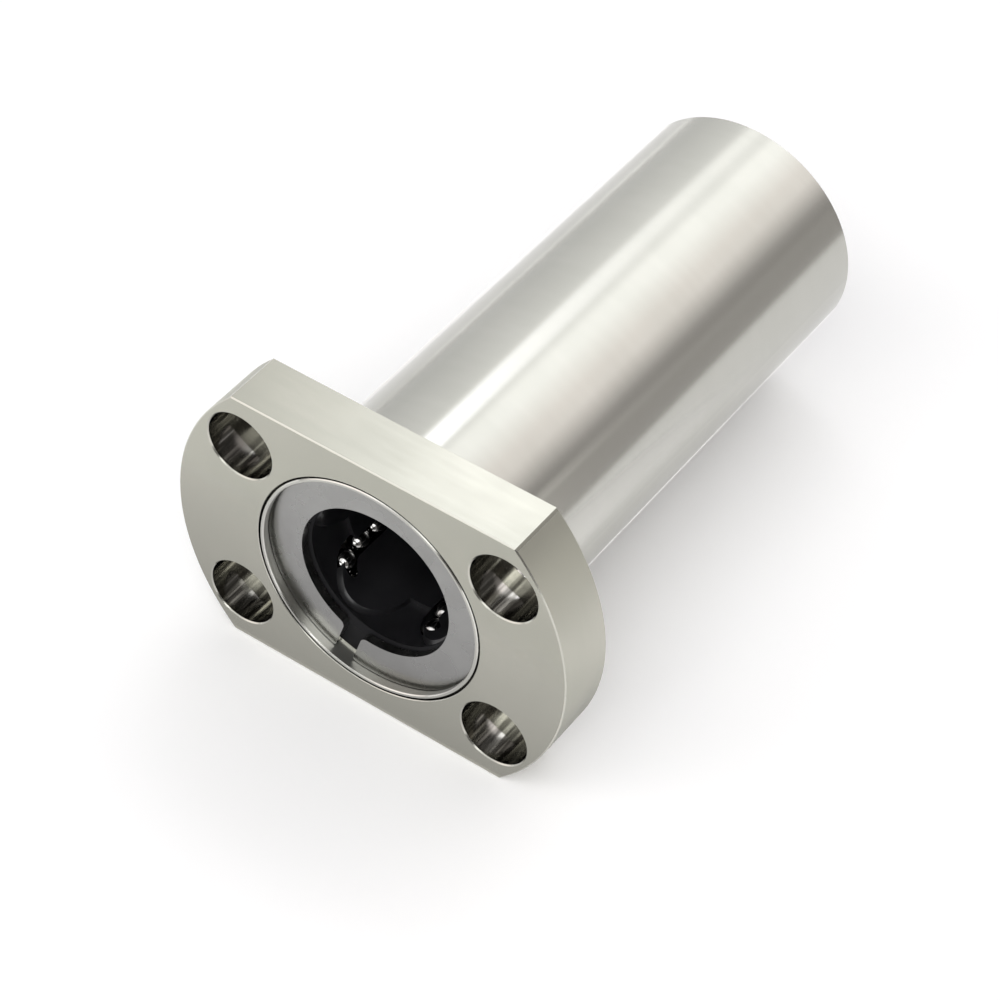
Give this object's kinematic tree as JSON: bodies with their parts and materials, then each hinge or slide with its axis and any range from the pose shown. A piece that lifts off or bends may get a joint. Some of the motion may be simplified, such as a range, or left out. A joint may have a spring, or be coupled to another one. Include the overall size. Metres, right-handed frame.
{
  "type": "flanged linear ball bearing",
  "caption": "Long linear ball bearing with a two-flat mounting flange, counterbored screw holes and recirculating ball circuits, guiding a round shaft.",
  "frame": {"origin": "on the bore axis, at the flange's seat face, which is also the centre of the screw hole pattern", "axes": "+Y along the bore from the flange to the plain end, +X along the flange's long direction, +Z normal to the flange's two flats"},
  "size_m": [0.054, 0.08, 0.038],
  "materials": {
    "flange_steel": "fine ground",
    "cylinder_steel": "centreless ground",
    "ring_steel": "satin, stamped",
    "seal_rubber": "matte",
    "retainer_resin": "satin moulded",
    "ball_steel": "polished"
  },
  "bodies": {
    "housing": {"flange": "flange_steel", "outer_cylinder": "cylinder_steel", "front_retaining_ring": "ring_steel", "rear_retaining_ring": "ring_steel", "front_seal": "seal_rubber", "rear_seal": "seal_rubber", "front_ball_retainer": "retainer_resin", "rear_ball_retainer": "retainer_resin"},
    "load_rows": {"front_load_balls_1": "ball_steel", "front_load_balls_2": "ball_steel", "front_load_balls_3": "ball_steel", "front_load_balls_4": "ball_steel", "front_load_balls_5": "ball_steel", "rear_load_balls_1": "ball_steel", "rear_load_balls_2": "ball_steel", "rear_load_balls_3": "ball_steel", "rear_load_balls_4": "ball_steel", "rear_load_balls_5": "ball_steel"},
    "return_rows": {"front_return_balls_1": "ball_steel", "front_return_balls_2": "ball_steel", "front_return_balls_3": "ball_steel", "front_return_balls_4": "ball_steel", "front_return_balls_5": "ball_steel", "rear_return_balls_1": "ball_steel", "rear_return_balls_2": "ball_steel", "rear_return_balls_3": "ball_steel", "rear_return_balls_4": "ball_steel", "rear_return_balls_5": "ball_steel"},
    "front_outer_turn_1": {"front_outer_turn_balls_1": "ball_steel"},
    "front_outer_turn_2": {"front_outer_turn_balls_2": "ball_steel"},
    "front_outer_turn_3": {"front_outer_turn_balls_3": "ball_steel"},
    "front_outer_turn_4": {"front_outer_turn_balls_4": "ball_steel"},
    "front_outer_turn_5": {"front_outer_turn_balls_5": "ball_steel"},
    "front_inner_turn_1": {"front_inner_turn_balls_1": "ball_steel"},
    "front_inner_turn_2": {"front_inner_turn_balls_2": "ball_steel"},
    "front_inner_turn_3": {"front_inner_turn_balls_3": "ball_steel"},
    "front_inner_turn_4": {"front_inner_turn_balls_4": "ball_steel"},
    "front_inner_turn_5": {"front_inner_turn_balls_5": "ball_steel"},
    "rear_outer_turn_1": {"rear_outer_turn_balls_1": "ball_steel"},
    "rear_outer_turn_2": {"rear_outer_turn_balls_2": "ball_steel"},
    "rear_outer_turn_3": {"rear_outer_turn_balls_3": "ball_steel"},
    "rear_outer_turn_4": {"rear_outer_turn_balls_4": "ball_steel"},
    "rear_outer_turn_5": {"rear_outer_turn_balls_5": "ball_steel"},
    "rear_inner_turn_1": {"rear_inner_turn_balls_1": "ball_steel"},
    "rear_inner_turn_2": {"rear_inner_turn_balls_2": "ball_steel"},
    "rear_inner_turn_3": {"rear_inner_turn_balls_3": "ball_steel"},
    "rear_inner_turn_4": {"rear_inner_turn_balls_4": "ball_steel"},
    "rear_inner_turn_5": {"rear_inner_turn_balls_5": "ball_steel"}
  },
  "joints": [
    {"name": "load_rows_roll", "type": "slide", "parent": "housing", "child": "load_rows", "axis": [0, 1, 0], "range_m": [-0.00162, 0.00162]},
    {"name": "return_rows_roll", "type": "slide", "parent": "housing", "child": "return_rows", "axis": [0, 1, 0], "range_m": [-0.00162, 0.00162]},
    {"name": "front_outer_turn_1_roll", "type": "hinge", "parent": "housing", "child": "front_outer_turn_1", "pos_m": [0.01159, 0.00134, 0.0023], "axis": [1, 0, 0], "range_deg": [-45.01, 45.01]},
    {"name": "front_outer_turn_2_roll", "type": "hinge", "parent": "housing", "child": "front_outer_turn_2", "pos_m": [0.0014, 0.00134, 0.01173], "axis": [0.309, 0, 0.9511], "range_deg": [-45.01, 45.01]},
    {"name": "front_outer_turn_3_roll", "type": "hinge", "parent": "housing", "child": "front_outer_turn_3", "pos_m": [-0.01073, 0.00134, 0.00495], "axis": [-0.809, 0, 0.5878], "range_deg": [-45.01, 45.01]},
    {"name": "front_outer_turn_4_roll", "type": "hinge", "parent": "housing", "child": "front_outer_turn_4", "pos_m": [-0.00802, 0.00134, -0.00867], "axis": [-0.809, 0, -0.5878], "range_deg": [-45.01, 45.01]},
    {"name": "front_outer_turn_5_roll", "type": "hinge", "parent": "housing", "child": "front_outer_turn_5", "pos_m": [0.00577, 0.00134, -0.01031], "axis": [0.309, 0, -0.9511], "range_deg": [-45.01, 45.01]},
    {"name": "front_inner_turn_1_roll", "type": "hinge", "parent": "housing", "child": "front_inner_turn_1", "pos_m": [0.01159, 0.02734, 0.0023], "axis": [1, 0, 0], "range_deg": [-45.01, 45.01]},
    {"name": "front_inner_turn_2_roll", "type": "hinge", "parent": "housing", "child": "front_inner_turn_2", "pos_m": [0.0014, 0.02734, 0.01173], "axis": [0.309, 0, 0.9511], "range_deg": [-45.01, 45.01]},
    {"name": "front_inner_turn_3_roll", "type": "hinge", "parent": "housing", "child": "front_inner_turn_3", "pos_m": [-0.01073, 0.02734, 0.00495], "axis": [-0.809, 0, 0.5878], "range_deg": [-45.01, 45.01]},
    {"name": "front_inner_turn_4_roll", "type": "hinge", "parent": "housing", "child": "front_inner_turn_4", "pos_m": [-0.00802, 0.02734, -0.00867], "axis": [-0.809, 0, -0.5878], "range_deg": [-45.01, 45.01]},
    {"name": "front_inner_turn_5_roll", "type": "hinge", "parent": "housing", "child": "front_inner_turn_5", "pos_m": [0.00577, 0.02734, -0.01031], "axis": [0.309, 0, -0.9511], "range_deg": [-45.01, 45.01]},
    {"name": "rear_outer_turn_1_roll", "type": "hinge", "parent": "housing", "child": "rear_outer_turn_1", "pos_m": [0.01159, 0.06266, -0.0023], "axis": [1, 0, 0], "range_deg": [-45.01, 45.01]},
    {"name": "rear_outer_turn_2_roll", "type": "hinge", "parent": "housing", "child": "rear_outer_turn_2", "pos_m": [0.0014, 0.06266, -0.01173], "axis": [0.309, 0, -0.9511], "range_deg": [-45.01, 45.01]},
    {"name": "rear_outer_turn_3_roll", "type": "hinge", "parent": "housing", "child": "rear_outer_turn_3", "pos_m": [-0.01073, 0.06266, -0.00495], "axis": [-0.809, 0, -0.5878], "range_deg": [-45.01, 45.01]},
    {"name": "rear_outer_turn_4_roll", "type": "hinge", "parent": "housing", "child": "rear_outer_turn_4", "pos_m": [-0.00802, 0.06266, 0.00867], "axis": [-0.809, 0, 0.5878], "range_deg": [-45.01, 45.01]},
    {"name": "rear_outer_turn_5_roll", "type": "hinge", "parent": "housing", "child": "rear_outer_turn_5", "pos_m": [0.00577, 0.06266, 0.01031], "axis": [0.309, 0, 0.9511], "range_deg": [-45.01, 45.01]},
    {"name": "rear_inner_turn_1_roll", "type": "hinge", "parent": "housing", "child": "rear_inner_turn_1", "pos_m": [0.01159, 0.03666, -0.0023], "axis": [1, 0, 0], "range_deg": [-45.01, 45.01]},
    {"name": "rear_inner_turn_2_roll", "type": "hinge", "parent": "housing", "child": "rear_inner_turn_2", "pos_m": [0.0014, 0.03666, -0.01173], "axis": [0.309, 0, -0.9511], "range_deg": [-45.01, 45.01]},
    {"name": "rear_inner_turn_3_roll", "type": "hinge", "parent": "housing", "child": "rear_inner_turn_3", "pos_m": [-0.01073, 0.03666, -0.00495], "axis": [-0.809, 0, -0.5878], "range_deg": [-45.01, 45.01]},
    {"name": "rear_inner_turn_4_roll", "type": "hinge", "parent": "housing", "child": "rear_inner_turn_4", "pos_m": [-0.00802, 0.03666, 0.00867], "axis": [-0.809, 0, 0.5878], "range_deg": [-45.01, 45.01]},
    {"name": "rear_inner_turn_5_roll", "type": "hinge", "parent": "housing", "child": "rear_inner_turn_5", "pos_m": [0.00577, 0.03666, 0.01031], "axis": [0.309, 0, 0.9511], "range_deg": [-45.01, 45.01]}
  ],
  "couplings": [
    {"joint": "return_rows_roll", "follows": "load_rows_roll", "ratio": -1},
    {"joint": "front_outer_turn_1_roll", "follows": "load_rows_roll", "rad_per_m": 483.32},
    {"joint": "front_outer_turn_2_roll", "follows": "load_rows_roll", "rad_per_m": 483.32},
    {"joint": "front_outer_turn_3_roll", "follows": "load_rows_roll", "rad_per_m": 483.32},
    {"joint": "front_outer_turn_4_roll", "follows": "load_rows_roll", "rad_per_m": 483.32},
    {"joint": "front_outer_turn_5_roll", "follows": "load_rows_roll", "rad_per_m": 483.32},
    {"joint": "front_inner_turn_1_roll", "follows": "load_rows_roll", "rad_per_m": 483.32},
    {"joint": "front_inner_turn_2_roll", "follows": "load_rows_roll", "rad_per_m": 483.32},
    {"joint": "front_inner_turn_3_roll", "follows": "load_rows_roll", "rad_per_m": 483.32},
    {"joint": "front_inner_turn_4_roll", "follows": "load_rows_roll", "rad_per_m": 483.32},
    {"joint": "front_inner_turn_5_roll", "follows": "load_rows_roll", "rad_per_m": 483.32},
    {"joint": "rear_outer_turn_1_roll", "follows": "load_rows_roll", "rad_per_m": -483.32},
    {"joint": "rear_outer_turn_2_roll", "follows": "load_rows_roll", "rad_per_m": -483.32},
    {"joint": "rear_outer_turn_3_roll", "follows": "load_rows_roll", "rad_per_m": -483.32},
    {"joint": "rear_outer_turn_4_roll", "follows": "load_rows_roll", "rad_per_m": -483.32},
    {"joint": "rear_outer_turn_5_roll", "follows": "load_rows_roll", "rad_per_m": -483.32},
    {"joint": "rear_inner_turn_1_roll", "follows": "load_rows_roll", "rad_per_m": -483.32},
    {"joint": "rear_inner_turn_2_roll", "follows": "load_rows_roll", "rad_per_m": -483.32},
    {"joint": "rear_inner_turn_3_roll", "follows": "load_rows_roll", "rad_per_m": -483.32},
    {"joint": "rear_inner_turn_4_roll", "follows": "load_rows_roll", "rad_per_m": -483.32},
    {"joint": "rear_inner_turn_5_roll", "follows": "load_rows_roll", "rad_per_m": -483.32}
  ]
}
